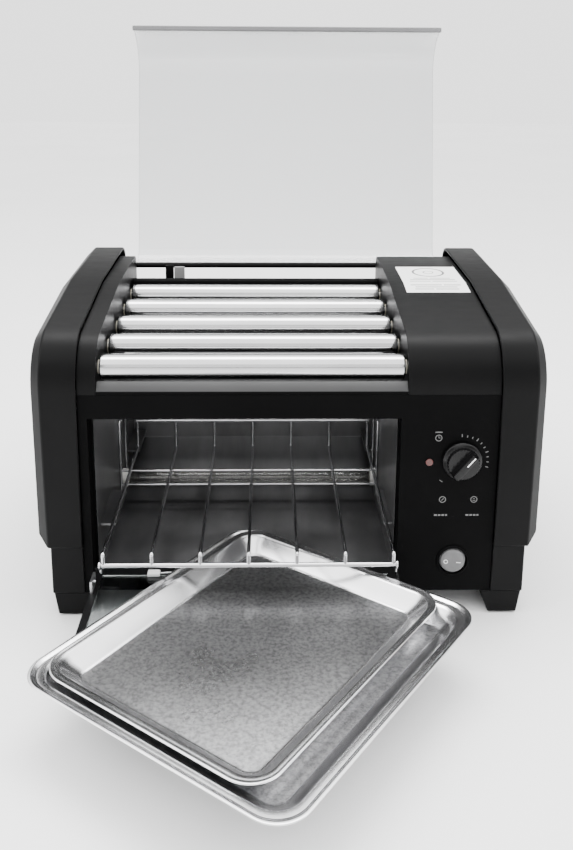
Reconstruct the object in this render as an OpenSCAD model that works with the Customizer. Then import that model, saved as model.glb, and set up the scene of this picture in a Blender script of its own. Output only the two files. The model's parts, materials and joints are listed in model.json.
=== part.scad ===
// Roller grill with a small oven under it: five driven rollers on top, a clear lid over them,
// a glass door in front, a wire rack in the cavity and two trays lying on the open door.
// Measured from the middle of the body, the front face of the panel and the table.

/* [Body] */
// Width over both side covers
body_w = 430; // [400:1:460]
// Depth from the panel's front face to the rear edge of the side covers
body_d = 285; // [280:1:300]
// Width of each side cover's rim
cover_w = 39; // [36:1:42]
// Bevel round the outer edge of each side cover
cover_bevel = 9; // [6:1:12]
// Wall of the moulded covers and housings
wall = 2.5; // [2:0.5:3]

/* [Rollers] */
// Length of the polished tubes
roller_len = 255; // [250:1:255]
// Radius of the polished tubes
roller_r = 11; // [10:0.5:11.5]
// Distance between neighbouring roller axes
roller_pitch = 48; // [48:0.1:48.4]
// Rise of the row of rollers towards the rear
roller_rise = 3.67; // [3:0.01:4]

/* [Lid] */
// Width of the clear lid
lid_w = 330; // [320:1:334]
// Thickness of the clear sheet
lid_t = 2; // [1.5:0.5:3]
// How far the open lid leans back from upright
lid_lean = 13; // [8:1:16]

/* [Door and rack] */
// Length of the glass door from its hinge axis to its free edge
door_len = 139; // [130:1:139]
// Spacing of the rack's wires
rack_pitch = 40; // [36:1:40]
// Radius of the rack's wires
wire_r = 1.6; // [1.2:0.1:1.6]

/* [Trays] */
// Turn of the trays as they lie on the door
tray_turn = 53.5; // [50:0.1:55]
// Long side of the outer tray over its rim
tray_long = 263; // [258:1:264]
// Short side of the outer tray over its rim
tray_short = 234; // [232:1:236]

/* [Hidden] */

// The row's origin lies this far behind the panel's front face
origin_y = 31.3;
half_w = body_w / 2;
cover_x = half_w - cover_w;
base_z = 22;
cover_low = 66;
pad_h = 1.5;
$fn = 48;

// Hump profile in front and behind, and the walls that carry the rollers
hump_base = 203;
hump_rear = 256;
left_wall = -160.5;
right_wall = 98.5;
mid_x = (left_wall + right_wall) / 2;
label_t = 0.3;
deck_rear = 225.5;

// Front opening and cavity
open_l = -168.5;
open_r = 93.3;
open_low = 37.6;
open_top = 182;
panel_t = 3;
return_d = 14;
cav_l = -166;
cav_r = 92;
cav_top = 198;
cav_floor = 31;
cav_rear = 236;
heater_y = 150;
heater_z = 57;
upper_heater_y = 110;
upper_heater_z = 190;
cap_len = 6;
hoop_r = 1.3;
hoop_half = 17;

// Roller drive
first_y = 20.5;
first_z = 220.7;
journal_r = 4;
run_gap = 0.05;
teeth = 16;
gear_pitch_r = roller_pitch / 4;
gear_x = 108;
gear_w = 8;
plate_x = 118;
motor_x = 122;
idler_r = 3;

// Lid hinge
rod_y = 264;
rod_z = 253;
rod_r = 3;
lid_bend = 22;
lid_flat = 192;
lid_nose_len = 38;
lid_nose_drop = 47;

// Door hinge and rack
hinge_y = 6;
hinge_z = 40.4;
door_t = 4;
door_l = -166;
door_r = 91.5;
rack_x = -34;
rack_z = 76;
rack_front = -31;
rack_rear = 182;
bar_z = 66;
bar_r = 2;

// Trays
tray_x = -23.4;
tray_y = -118.8;
tray_z = 42.8;
tray_gauge = 1;
inner_shift = [5.7, 11.2];

// Controls on the panel
knob_x = 145.5;
knob_z = 144.5;
lamp_x = 118;
lamp_z = 143;
knob_r = 17;
switch_x = 142;
switch_z = 51;
switch_r = 11.9;
switch_pivot_y = 4;

module from_front() translate([0, -origin_y, 0]) children();

module block(x0, x1, y0, y1, z0, z1) translate([x0, y0, z0]) cube([x1 - x0, y1 - y0, z1 - z0]);

module along_x(x0, x1) translate([x0, 0, 0]) rotate([90, 0, 90]) linear_extrude(x1 - x0) children();

module x_rod(r, x0, x1, y, z) translate([x0, y, z]) rotate([0, 90, 0]) cylinder(r = r, h = x1 - x0);

module y_rod(r, y0, y1, x, z) translate([x, y0, z]) rotate([-90, 0, 0]) cylinder(r = r, h = y1 - y0);

module z_rod(r, z0, z1, x, y) translate([x, y, z0]) cylinder(r = r, h = z1 - z0);

module both_sides() {
  children();
  mirror([1, 0, 0]) children();
}

// Points on an elliptical arc in the Y-Z plane
function arc_points(cy, cz, ry, rz, a0, a1, n) =
  [for (i = [0:n]) let (a = a0 + (a1 - a0) * i / n) [cy + ry * cos(a), cz + rz * sin(a)]];

// Side outline of the covers, moved in by d and cut off at z0
function cover_outline(d, z0) = concat(
  [[body_d - d, z0]],
  arc_points(body_d - 20, 252, 20 - d, 20 - d, 0, 90, 8),
  [[139, 268 - d]],
  arc_points(38, 205, 42 - d, 48 - d, 100, 180, 16),
  [[d - 4, z0]]);

// Side outline of the roller housings, a step below the covers
function hump_outline(d, z0) = concat(
  [[hump_rear - d, z0]],
  arc_points(hump_rear - 12, 255, 12 - d, 12 - d, 0, 90, 6),
  [[139, 264 - d]],
  arc_points(38, hump_base, 38 - d, 46 - d, 100, 180, 16),
  [[d, z0]]);

// Side outline of the cavity, whose floor rises to the rear wall behind the lower heater
function cavity_outline(d, over) = [
  [return_d - over, cav_floor - 1 + d], [150, cav_floor - 1 + d], [205, 38 + d],
  [cav_rear + 1 - d, 64], [cav_rear + 1 - d, cav_top + over], [return_d - over, cav_top + over]];

// Height of the housings' top, which has a crease at y 139
function hump_top(y) = y > 139 ? 264 + (y - 139) * 3 / (hump_rear - 12 - 139)
  : let (end = arc_points(38, hump_base, 38, 46, 100, 180, 16)[0])
    264 - (139 - y) * (264 - end[1]) / (139 - end[0]);

function roller_at(i) = [first_y + i * roller_pitch * cos(roller_rise),
                         first_z + i * roller_pitch * sin(roller_rise)];

// The motor's gear hangs under the second idler
function motor_at() = roller_at(1.5) + 2 * gear_pitch_r * [sin(roller_rise), -cos(roller_rise)];

module cover_shell() {
  outer_x = cover_x + cover_w - cover_bevel;
  skin = 0.1;
  difference() {
    union() {
      hull() {
        along_x(cover_x, outer_x) polygon(cover_outline(0, cover_low));
        along_x(half_w - skin, half_w)
          polygon(cover_outline(cover_bevel, cover_low + cover_bevel));
      }
      block(cover_x, half_w - 11, -2, body_d - 4, base_z, cover_low + 1);
    }
    hull() {
      along_x(cover_x - 1, outer_x - 1) polygon(cover_outline(wall, cover_low + wall));
      along_x(half_w - wall - skin, half_w - wall)
        polygon(cover_outline(cover_bevel + wall, cover_low + cover_bevel + wall));
    }
    block(cover_x - 1, half_w - 11 - wall, wall - 2, body_d - 4 - wall, base_z + wall, cover_low + 4);
  }
}

module side_cover_right() color("#1d1d1f") from_front() cover_shell();

module side_cover_left() color("#1d1d1f") from_front() mirror([1, 0, 0]) cover_shell();

// A tapered foot under one corner, wider where it meets the body
module foot(y0) {
  hull() {
    block(168, 203, y0, y0 + 50, base_z - 1, base_z);
    block(175, 200, y0, y0 + 43, pad_h, pad_h + 1);
  }
}

module feet() color("#1a1a1c") from_front() both_sides() {
  foot(-1);
  foot(230);
}

module foot_pads() color("#0e0e0e") from_front() both_sides()
  for (y = [8, 239]) block(178, 197, y, y + 30, 0, pad_h);

module base_pan() color("#232325") from_front() difference() {
  block(-cover_x, cover_x, panel_t, body_d - 4, base_z, base_z + 2);
  for (i = [0:5]) block(-120 + i * 40, -100 + i * 40, 60, 220, base_z - 1, base_z + 3);
}

module rear_panel() color("#232325") from_front() difference() {
  block(-cover_x, cover_x, body_d - 4, body_d - 2, base_z, 231);
  for (i = [0:8], j = [0:2])
    block(-130 + i * 24, -116 + i * 24, body_d - 5, body_d - 1, 90 + j * 30, 110 + j * 30);
  y_rod(8, body_d - 5, body_d - 1, 130, 60);
}

// Bar behind the last roller and the sheet that falls from it to the rear panel
module rear_deck() color("#202022") from_front() {
  along_x(left_wall, right_wall)
    polygon(concat([[224, 239], [234, 239]], arc_points(229, 243.5, 5, 3, 0, 180, 8)));
  along_x(left_wall, right_wall)
    polygon([[234, 239], [hump_rear + 1, 235.5], [hump_rear + 1, 237.5], [234, 241]]);
  along_x(-cover_x, cover_x)
    polygon([[hump_rear + 1, 235.5], [body_d - 2, 231], [body_d - 2, 233], [hump_rear + 1, 237.5]]);
}

module roller_holes(x0, x1) {
  for (i = [0:4]) let (p = roller_at(i)) x_rod(6, x0, x1, p[0], p[1]);
}

// Left end of the roller bed
module end_housing() color("#242426") from_front() difference() {
  union() {
    difference() {
      along_x(-cover_x, left_wall) polygon(hump_outline(0, hump_base));
      along_x(-cover_x - 1, left_wall - wall) polygon(hump_outline(wall, hump_base - 1));
    }
    block(left_wall - wall, left_wall, return_d + 2, 254, 201, hump_base);
  }
  roller_holes(left_wall - wall - 1, left_wall + 1);
}

// Right end of the roller bed, over the gears and the motor
module gear_housing() color("#242426") from_front() difference() {
  union() {
    difference() {
      along_x(right_wall, cover_x) polygon(hump_outline(0, hump_base));
      along_x(right_wall + wall, cover_x + 1) polygon(hump_outline(wall, hump_base - 1));
    }
    block(right_wall, right_wall + wall, return_d + 2, 254, 201, hump_base);
  }
  roller_holes(right_wall - 1, right_wall + wall + 1);
}

// Front panel with the cavity's opening, its returns and the holes for the controls
module front_panel() color("#1b1b1d") from_front() difference() {
  union() {
    block(-cover_x, cover_x, 0, panel_t, base_z, hump_base);
    block(-cover_x, cover_x, panel_t, return_d, hump_base - wall, hump_base);
    block(open_l - wall, open_r + wall, 0, return_d, open_low - wall, open_top + wall);
  }
  block(open_l, open_r, -1, return_d + 1, open_low, open_top);
  x_rod(2 + run_gap, open_l - wall - 1, open_r + wall + 1, hinge_y, hinge_z);
  y_rod(4, -1, panel_t + 1, knob_x, knob_z);
  y_rod(12.3, -1, panel_t + 1, switch_x, switch_z);
  y_rod(2.6, -1, panel_t + 1, lamp_x, lamp_z);
}

module front_ledge() color("#6f7072") from_front() along_x(left_wall, right_wall)
  polygon([[0, hump_base], [0, hump_base + 3], [5, hump_base + 9], [8, hump_base + 10],
    [9, hump_base + 8], [9, hump_base]]);

module cavity_liner() color("#8d8e90") from_front() {
  difference() {
    along_x(cav_l - 1, cav_r + 1) polygon(cavity_outline(0, 0));
    along_x(cav_l, cav_r) polygon(cavity_outline(1, 1));
  }
  difference() {
    block(-cover_x + 2, 100, return_d, return_d + 1, base_z + 4, cav_top);
    block(cav_l - 1, cav_r + 1, return_d - 1, return_d + 2, cav_floor - 1, cav_top + 1);
  }
}

// Sheet under the rollers, slotted so that the upper heater reaches them
module drip_deck() color("#5b5c5e") from_front() difference() {
  union() {
    block(left_wall, right_wall, return_d + 0.5, deck_rear, 199.5, 200.5);
    block(left_wall, right_wall, deck_rear - 1, deck_rear, 200, 239);
  }
  for (i = [0:3]) let (p = roller_at(i + 0.5))
    block(left_wall + 12, right_wall - 12, p[0] - 6, p[0] + 6, 199, 201);
}

// Screws that hold the rear panel and the base pan
module panel_screws() color("#b8b8b8") from_front() {
  both_sides() for (z = [60, 130, 200]) y_rod(3.5, body_d - 2, body_d - 0.2, 166, z);
  both_sides() for (y = [70, 210]) z_rod(3.5, base_z - 1.8, base_z, 150, y);
}

// Gland for the mains lead, empty here
module cord_inlet() color("#151515") from_front() difference() {
  union() {
    y_rod(8, body_d - 8, body_d - 2, 130, 60);
    y_rod(10, body_d - 2, body_d, 130, 60);
  }
  y_rod(3.5, body_d - 9, body_d + 1, 130, 60);
}

module bush(x0, x1, flange_x0, flange_x1, p) difference() {
  union() {
    x_rod(6, x0, x1, p[0], p[1]);
    x_rod(7.5, flange_x0, flange_x1, p[0], p[1]);
  }
  x_rod(journal_r + run_gap, x0 - 2, x1 + 2, p[0], p[1]);
}

module roller_bushes() color("#d9d4c6") from_front() for (i = [0:4]) let (p = roller_at(i)) {
  bush(left_wall - 5, left_wall + 0.5, left_wall - 5, left_wall - wall, p);
  bush(right_wall - 0.5, right_wall + 5, right_wall + wall, right_wall + 5, p);
}

// Polished tube closed by end plugs with a journal at each end
module roller_tube(i) color("#c9cacc") from_front() let (p = roller_at(i - 1)) {
  x0 = mid_x - roller_len / 2;
  x1 = mid_x + roller_len / 2;
  difference() {
    x_rod(roller_r, x0, x1, p[0], p[1]);
    x_rod(roller_r - 1.2, x0 + 4, x1 - 4, p[0], p[1]);
  }
  x_rod(journal_r, x0 - 8, x0 + 1, p[0], p[1]);
  x_rod(journal_r, x1 - 1, plate_x - 1, p[0], p[1]);
}

// Tooth flanks follow an involute of a 20 degree rack, thinned for backlash
base_r = gear_pitch_r * cos(20);
tip_r = gear_pitch_r * 1.1125;
root_r = gear_pitch_r * 0.858;
backlash = 0.6;

function involute(r) = let (a = acos(min(1, base_r / r))) tan(a) * 180 / PI - a;

function half_tooth(r) = 90 / teeth - backlash + involute(gear_pitch_r) - involute(r);

function tooth_points(a) = let (flank = [root_r, base_r, gear_pitch_r, tip_r]) concat(
  [for (r = flank) r * [cos(a - half_tooth(max(r, base_r))), sin(a - half_tooth(max(r, base_r)))]],
  [for (i = [3:-1:0]) let (r = flank[i])
    r * [cos(a + half_tooth(max(r, base_r))), sin(a + half_tooth(max(r, base_r)))]]);

// A spur gear at p whose first tooth points along the row of rollers, or half a tooth past it
module spur_gear(p, bore, phase) difference() {
  translate([0, p[0], p[1]]) along_x(gear_x, gear_x + gear_w) rotate(roller_rise)
    polygon([for (i = [0:teeth - 1]) each tooth_points((i + phase) * 360 / teeth)]);
  x_rod(bore, gear_x - 1, gear_x + gear_w + 1, p[0], p[1]);
}

module roller_gear(i) color("#e6e0cf") from_front() spur_gear(roller_at(i - 1), journal_r, 0);

module idler_gear(i) color("#d8c9a0") from_front()
  spur_gear(roller_at(i - 0.5), idler_r + run_gap, 0.5);

module motor_gear() color("#d8c9a0") from_front() spur_gear(motor_at(), idler_r, 0);

module motor_shaft() color("#a8a8aa") from_front()
  let (p = motor_at()) x_rod(idler_r, gear_x - 1, motor_x + 8, p[0], p[1]);

module idler_pins() color("#a8a8aa") from_front() for (i = [0:3]) let (p = roller_at(i + 0.5)) {
  x_rod(idler_r, gear_x - 1, plate_x, p[0], p[1]);
  x_rod(idler_r + 1.5, gear_x - 2.5, gear_x - 1, p[0], p[1]);
}

// Sheet that carries the idlers' pins and the motor, cut to clear the housing's shoulder
module gear_plate() color("#9a9b9d") from_front() difference() {
  along_x(plate_x, plate_x + 2)
    polygon([[16, 178], [224, 178], [224, 250], [60, 246], [16, 228]]);
  let (p = motor_at()) x_rod(6, plate_x - 1, plate_x + 3, p[0], p[1]);
}

// Shaded-pole gear motor: gearbox can against the plate and the motor behind it
module motor() color("#77787a") from_front() let (p = motor_at()) difference() {
  union() {
    x_rod(22, motor_x, motor_x + 18, p[0], p[1]);
    x_rod(17, motor_x + 18, motor_x + 46, p[0], p[1]);
    for (s = [-1, 1]) block(plate_x + 2, motor_x, p[0] + 18 * s - 3, p[0] + 18 * s + 3, p[1] - 3, p[1] + 3);
  }
  x_rod(idler_r + run_gap, motor_x - 1, motor_x + 9, p[0], p[1]);
}

module timer_body() color("#8a8b8d") from_front() difference() {
  block(knob_x - 19, knob_x + 19, panel_t, panel_t + 32, knob_z - 22, knob_z + 22);
  y_rod(3 + run_gap, panel_t - 1, panel_t + 12, knob_x, knob_z);
}

module timer_shaft() color("#b0b0b2") from_front() y_rod(3, -6, panel_t + 11, knob_x, knob_z);

// Round skirt with a raised grip bar across it
module timer_knob() color("#161617") from_front() difference() {
  union() {
    y_rod(knob_r, -4, -1, knob_x, knob_z);
    y_rod(knob_r - 3, -9, -4, knob_x, knob_z);
    translate([knob_x, 0, knob_z]) rotate([0, 40, 0]) block(-4, 4, -17, -8, 3 - knob_r, knob_r - 3);
  }
  y_rod(3, -6, 0, knob_x, knob_z);
}

module switch_body() color("#101011") from_front() difference() {
  y_rod(12.3, 0, 30, switch_x, switch_z);
  y_rod(switch_r + 0.15, -1, 17, switch_x, switch_z);
}

module switch_bezel() color("#1c1c1e") from_front() difference() {
  y_rod(14.5, -1.8, 0, switch_x, switch_z);
  y_rod(switch_r + 0.15, -3, 1, switch_x, switch_z);
}

// Round rocker, drawn pressed in on its off side
module switch_rocker() color("#8e8f91") from_front()
  translate([switch_x, switch_pivot_y, switch_z]) rotate([0, 0, -8]) intersection() {
    sphere(r = switch_r);
    y_rod(switch_r, -8.5, 8, 0, 0);
  }

module indicator_lamp() color("#b54a3a") from_front() union() {
  y_rod(2.5, 0, panel_t + 8, lamp_x, lamp_z);
  y_rod(3.2, -1.2, 0, lamp_x, lamp_z);
}

// Plain label that follows the crease on the gear housing's top
module blank_label() color("#f2f2f0") from_front() {
  front = 116;
  crease = 139;
  rear = 200;
  under = [[front, hump_top(front)], [crease, hump_top(crease)], [rear, hump_top(rear)]];
  along_x(112, 172) polygon(concat(under, [for (i = [2:-1:0]) under[i] + [0, label_t]]));
}

module heater_tubes() color("#e9e6de") from_front() {
  x_rod(6.5, cav_l + cap_len, cav_r - cap_len, heater_y, heater_z);
  x_rod(5.5, cav_l + cap_len, cav_r - cap_len, upper_heater_y, upper_heater_z);
}

module heater_end_caps() color("#f4f3ee") from_front() {
  for (x = [cav_l, cav_r - cap_len]) {
    x_rod(9, x, x + cap_len, heater_y, heater_z);
    x_rod(7.5, x, x + cap_len, upper_heater_y, upper_heater_z);
  }
}

// Wire hoop in the Y-Z plane beside the lower heater
module guard_hoop(x) {
  low = 46;
  high = 124;
  for (s = [-1, 1]) z_rod(hoop_r, low, high, x, heater_y + s * hoop_half);
  for (z = [low, high]) y_rod(hoop_r, heater_y - hoop_half, heater_y + hoop_half, x, z);
  for (s = [-1, 1], z = [low, high])
    translate([x, heater_y + s * hoop_half, z]) sphere(r = hoop_r, $fn = 24);
}

// A hoop at each end of the heater and two wires between them in front of it
module element_guards() color("#d6d6d8") from_front() {
  guard_hoop(cav_l + 1.4);
  guard_hoop(cav_r - 1.4);
  for (z = [57.6, 72.5]) x_rod(1.2, cav_l + 1.4, cav_r - 1.4, heater_y - hoop_half, z);
}

// Ledges on the cavity's sides that carry the rack, with a gap at the hoops
module rack_rails() color("#8d8e90") from_front() {
  for (span = [[24, 88], [178, 232]]) {
    block(cav_l, cav_l + 14, span[0], span[1], rack_z - 4, rack_z - wire_r - 0.15);
    block(cav_r - 8, cav_r, span[0], span[1], rack_z - 4, rack_z - wire_r - 0.15);
  }
}

module wire_rack() color("#d9d9db") from_front() {
  half = 3 * rack_pitch;
  for (i = [-3:3]) let (x = rack_x + i * rack_pitch) {
    y_rod(wire_r, rack_front, rack_rear, x, rack_z);
    z_rod(wire_r, bar_z, rack_z, x, rack_front);
    z_rod(wire_r, rack_z, rack_z + 30, x, rack_rear);
    for (y = [rack_front, rack_rear]) translate([x, y, rack_z]) sphere(r = wire_r, $fn = 24);
  }
  x_rod(bar_r, rack_x - half - wire_r, rack_x + half + wire_r, rack_front, bar_z);
  x_rod(bar_r, rack_x - half - wire_r, rack_x + half + wire_r, rack_rear, rack_z + 30);
}

// Hooks hanging from the ends of the front bar
module rack_hooks() color("#d9d9db") from_front()
  for (s = [-1, 1]) let (x = rack_x + s * (3 * rack_pitch + wire_r + 1.2)) {
    x_rod(3.6, x - 1, x + 1, rack_front, bar_z);
    z_rod(1, 56.5, bar_z, x, rack_front + 4);
    y_rod(1, rack_front + 3, rack_front + 12, x, 56.5);
  }

module door_glass() color([0.5, 0.55, 0.55, 0.5]) from_front()
  block(door_l + 6, door_r - 6, hinge_y - door_len + 12, hinge_y - 12,
    hinge_z - door_t / 2, hinge_z + door_t / 2);

// Metal frame of the door with its hinge barrel and pins
module door_frame() color("#2a2a2c") from_front() {
  difference() {
    block(door_l, door_r, hinge_y - door_len, hinge_y, hinge_z - door_t / 2, hinge_z + door_t / 2);
    block(door_l + 6, door_r - 6, hinge_y - door_len + 12, hinge_y - 12, hinge_z - 3, hinge_z + 3);
  }
  x_rod(2, open_l - 2, open_r + 2, hinge_y, hinge_z);
}

// Lugs on the door, each with a pin beside the rack's hook
module door_lugs() color("#c8c8ca") from_front()
  for (lug = [[door_l + 1, 2, -0.5, 3.5], [door_r - 1.4, 1.2, -0.1, 1.7]]) let (x = lug[0]) {
    block(x, x + lug[1], rack_front - 4, rack_front + 12, hinge_z + door_t / 2, 53);
    x_rod(1.3, x + lug[2], x + lug[3], rack_front + 4, 49);
  }

module door_handle() color("#2f2f31") from_front() {
  low = 14;
  y = hinge_y - door_len + 8;
  x_rod(5, mid_x - 70, mid_x + 70, y, low + 5);
  for (s = [-1, 1]) z_rod(3.5, low + 5, hinge_z - door_t / 2, mid_x + s * 58, y);
}

// Closed lid in the plane of its outline: forward is -Y and the rod is at the origin
function lid_outline(d) = concat(
  arc_points(-lid_bend, rod_r, lid_bend + d, lid_bend + d, 0, 90, 10),
  arc_points(-lid_bend - lid_flat, rod_r + lid_bend - lid_nose_drop,
    lid_nose_len + d, lid_nose_drop + d, 90, 180, 14));

module open_lid() translate([0, rod_y, rod_z]) rotate([-90 - lid_lean, 0, 0]) children();

module lid_sheet() color([0.8, 0.82, 0.82, 0.4]) from_front() open_lid() {
  under = lid_outline(-lid_t / 2);
  along_x(-lid_w / 2 + 2, lid_w / 2 + 2)
    polygon(concat(lid_outline(lid_t / 2), [for (i = [len(under) - 1:-1:0]) under[i]]));
}

module lid_trim() color("#6c6d6f") from_front() open_lid() {
  y = -lid_bend - lid_flat - lid_nose_len;
  z = rod_r + lid_bend - lid_nose_drop;
  along_x(-lid_w / 2 + 2, lid_w / 2 + 2) polygon([[y - 2.6, z - 4], [y + 2.6, z - 4], [y + 2.6, z],
    [y - 2.6, z]]);
}

module lid_rod() color("#1b1b1c") from_front() x_rod(rod_r, -173, 174, rod_y, rod_z);

// Height of the sheet behind the last roller, on which the lid's brackets stand
function deck_top(y) = 237.5 - (y - hump_rear - 1) * 4.5 / (body_d - 3 - hump_rear);

// Post on the sheet from y0 to y1 that ends at height z
module deck_post(x0, x1, y0, y1, z) along_x(x0, x1)
  polygon([[y0, deck_top(y0)], [y1, deck_top(y1)], [y1, z], [y0, z]]);

// Cradle in front of the rod and an eye at each end of it
module lid_brackets() color("#1b1b1c") from_front() {
  difference() {
    deck_post(-129.5, -121, hump_rear + 1, rod_y, rod_z + 1);
    x_rod(rod_r + 0.06, -130, -120, rod_y, rod_z);
  }
  for (x = [-172.5, 168.5]) difference() {
    union() {
      deck_post(x, x + 4, rod_y - 4, rod_y + 4, rod_z);
      x_rod(6, x, x + 4, rod_y, rod_z);
    }
    x_rod(rod_r + 0.06, x - 1, x + 5, rod_y, rod_z);
  }
}

// Pale block beside the cradle
module lid_stop() color("#b9babc") from_front() deck_post(-120, -109, hump_rear + 1, 260.5, 252.5);

module rounded_slab(w, d, r, z0, z1) translate([0, 0, z0]) linear_extrude(z1 - z0) {
  square([w - 2 * r, d], center = true);
  square([w, d - 2 * r], center = true);
  for (sx = [-1, 1], sy = [-1, 1]) translate([sx * (w / 2 - r), sy * (d / 2 - r)]) circle(r = r);
}

module on_door() translate([tray_x, tray_y, tray_z]) rotate(tray_turn) children();

// Tray with a flat rim: well of w by d outside, rim of rim_w by rim_d
module tray(w, d, r, depth, rim_w, rim_d, rim_r) difference() {
  union() {
    rounded_slab(w, d, r, 0, depth);
    rounded_slab(rim_w, rim_d, rim_r, depth - 1.2, depth);
  }
  rounded_slab(w - 2 * tray_gauge, d - 2 * tray_gauge, r - tray_gauge, tray_gauge, depth + 1);
}

module outer_tray() color("#c4c5c7") from_front() on_door()
  tray(tray_long - 21, tray_short - 20, 20, 13.2, tray_long, tray_short, 24);

module inner_tray() color("#d2d3d5") from_front() on_door()
  translate([inner_shift[0], inner_shift[1], tray_gauge]) tray(227, 184, 18, 13.6, 248, 197, 24);

side_cover_left();
side_cover_right();
feet();
foot_pads();
base_pan();
rear_panel();
rear_deck();
end_housing();
gear_housing();
front_panel();
front_ledge();
cavity_liner();
drip_deck();
panel_screws();
cord_inlet();
roller_bushes();
roller_tube(1);  // roller_tube_1
roller_tube(2);  // roller_tube_2
roller_tube(3);  // roller_tube_3
roller_tube(4);  // roller_tube_4
roller_tube(5);  // roller_tube_5
roller_gear(1);  // roller_gear_1
roller_gear(2);  // roller_gear_2
roller_gear(3);  // roller_gear_3
roller_gear(4);  // roller_gear_4
roller_gear(5);  // roller_gear_5
idler_gear(1);  // idler_gear_1
idler_gear(2);  // idler_gear_2
idler_gear(3);  // idler_gear_3
idler_gear(4);  // idler_gear_4
idler_pins();
gear_plate();
motor();
motor_shaft();
motor_gear();
timer_body();
timer_shaft();
timer_knob();
switch_body();
switch_bezel();
switch_rocker();
indicator_lamp();
blank_label();
heater_tubes();
heater_end_caps();
element_guards();
rack_rails();
wire_rack();
rack_hooks();
door_glass();
door_frame();
door_lugs();
door_handle();
lid_sheet();
lid_trim();
lid_rod();
lid_brackets();
lid_stop();
outer_tray();
inner_tray();
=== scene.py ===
"""Roller grill with a small oven under it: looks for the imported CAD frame.

Lengths are written in millimetres and turned into metres by mm(). Places are given from the body's
middle, the panel's front face and the table by from_front(), or read from the CAD nodes' boxes.
"""
import json
import math

import bmesh
import bpy
from mathutils import Matrix, Vector


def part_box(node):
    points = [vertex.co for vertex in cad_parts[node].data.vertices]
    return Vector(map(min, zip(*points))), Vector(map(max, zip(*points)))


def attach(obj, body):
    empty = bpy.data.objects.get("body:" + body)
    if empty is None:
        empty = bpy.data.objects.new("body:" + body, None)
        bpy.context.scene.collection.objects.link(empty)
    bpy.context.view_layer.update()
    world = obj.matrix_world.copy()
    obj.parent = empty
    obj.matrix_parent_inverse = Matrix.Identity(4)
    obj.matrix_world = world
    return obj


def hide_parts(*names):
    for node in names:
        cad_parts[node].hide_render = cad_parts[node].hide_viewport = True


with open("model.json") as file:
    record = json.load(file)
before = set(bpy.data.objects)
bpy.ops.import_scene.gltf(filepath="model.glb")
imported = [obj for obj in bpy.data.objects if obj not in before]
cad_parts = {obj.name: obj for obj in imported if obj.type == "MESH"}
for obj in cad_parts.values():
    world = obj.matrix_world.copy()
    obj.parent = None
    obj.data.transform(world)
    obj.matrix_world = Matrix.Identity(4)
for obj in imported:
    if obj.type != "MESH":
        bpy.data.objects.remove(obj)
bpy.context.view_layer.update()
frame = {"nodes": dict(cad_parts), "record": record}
NODES = frame["nodes"]
BODY_OF = {n: b for b, ns in frame["record"]["behaviour"]["bodies"].items() for n in ns}
SLOT_OF = {s["node"]: s["material_slot"] for s in frame["record"]["subparts"]}
SCENE = bpy.context.scene


def mm(*values):
    """Millimetres to metres: one number, or a vector of three."""
    return values[0] / 1000 if len(values) == 1 else Vector(v / 1000 for v in values)


FRONT_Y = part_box("front_panel")[0].y


def from_front(x, y, z):
    """A point given in millimetres from the body's middle, the panel's front face and the table."""
    return Vector((mm(x), FRONT_Y + mm(y), mm(z)))


# ---------------------------------------------------------------- camera, stage and light

def make_camera():
    """In front of the oven and nearly half a metre up, looking down 13 degrees."""
    place = from_front(-18.9, -714.4, 476.4)
    look_down, turn, roll = (math.radians(a) for a in (13.16, -1.22, 0.37))
    data = bpy.data.cameras.new("camera")
    data.sensor_width = 36
    data.lens = 38.83
    data.shift_y = -0.1824
    data.clip_end = 20
    camera = bpy.data.objects.new("camera", data)
    SCENE.collection.objects.link(camera)
    camera.matrix_world = (
        Matrix.Translation(place)
        @ Matrix.Rotation(turn, 4, "Z")
        @ Matrix.Rotation(math.pi / 2 - look_down, 4, "X")
        @ Matrix.Rotation(roll, 4, "Z")
    )
    SCENE.camera = camera


def make_light(name, place, target, size, power):
    """A soft box, in metres and watts, aimed at a point."""
    data = bpy.data.lights.new(name, "AREA")
    data.shape = "RECTANGLE"
    data.size, data.size_y = size
    data.energy = power
    light = bpy.data.objects.new(name, data)
    SCENE.collection.objects.link(light)
    light.location = place
    light.rotation_euler = (Vector(target) - Vector(place)).to_track_quat("-Z", "Y").to_euler()


def make_sky():
    """Bright near the horizon and overhead, dimmer between, so that polished metal shows bands."""
    strength = 3.8
    levels = ((0, 0.6), (0.14, 0.6), (0.22, 0.15), (0.5, 0.13), (0.68, 1.0))
    world = bpy.data.worlds.new("world")
    world.use_nodes = True
    tree = world.node_tree
    background = tree.nodes["Background"]
    direction = tree.nodes.new("ShaderNodeTexCoord")
    height = tree.nodes.new("ShaderNodeSeparateXYZ")
    sky = tree.nodes.new("ShaderNodeValToRGB")
    ramp = sky.color_ramp
    ramp.interpolation = "EASE"
    for position, level in levels:
        stop = ramp.elements.new(position) if position else ramp.elements[0]
        stop.color = (level, level, level, 1)
    tree.links.new(direction.outputs["Generated"], height.inputs["Vector"])
    tree.links.new(height.outputs["Z"], sky.inputs["Fac"])
    tree.links.new(sky.outputs["Color"], background.inputs["Color"])
    background.inputs["Strength"].default_value = strength
    SCENE.world = world


def make_stage():
    """Pale floor, sky and four soft boxes."""
    bpy.ops.mesh.primitive_plane_add(size=12, location=(0, 0, -0.0002))
    floor = bpy.context.object
    floor.name = "floor"
    floor.data.materials.append(floor_material())
    make_sky()
    make_light("top_box", (0, 0.25, 1.6), (0, 0.02, 0.1), (1.3, 0.6), 34)
    make_light("left_box", (-1.6, -0.5, 1.0), (0, 0, 0.15), (0.8, 1.1), 14)
    make_light("right_box", (1.6, -0.4, 1.1), (0, 0, 0.15), (0.8, 1.1), 12)
    make_light("front_fill", (0, -2.2, 1.2), (0, 0, 0.12), (1.4, 0.7), 6)


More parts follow.
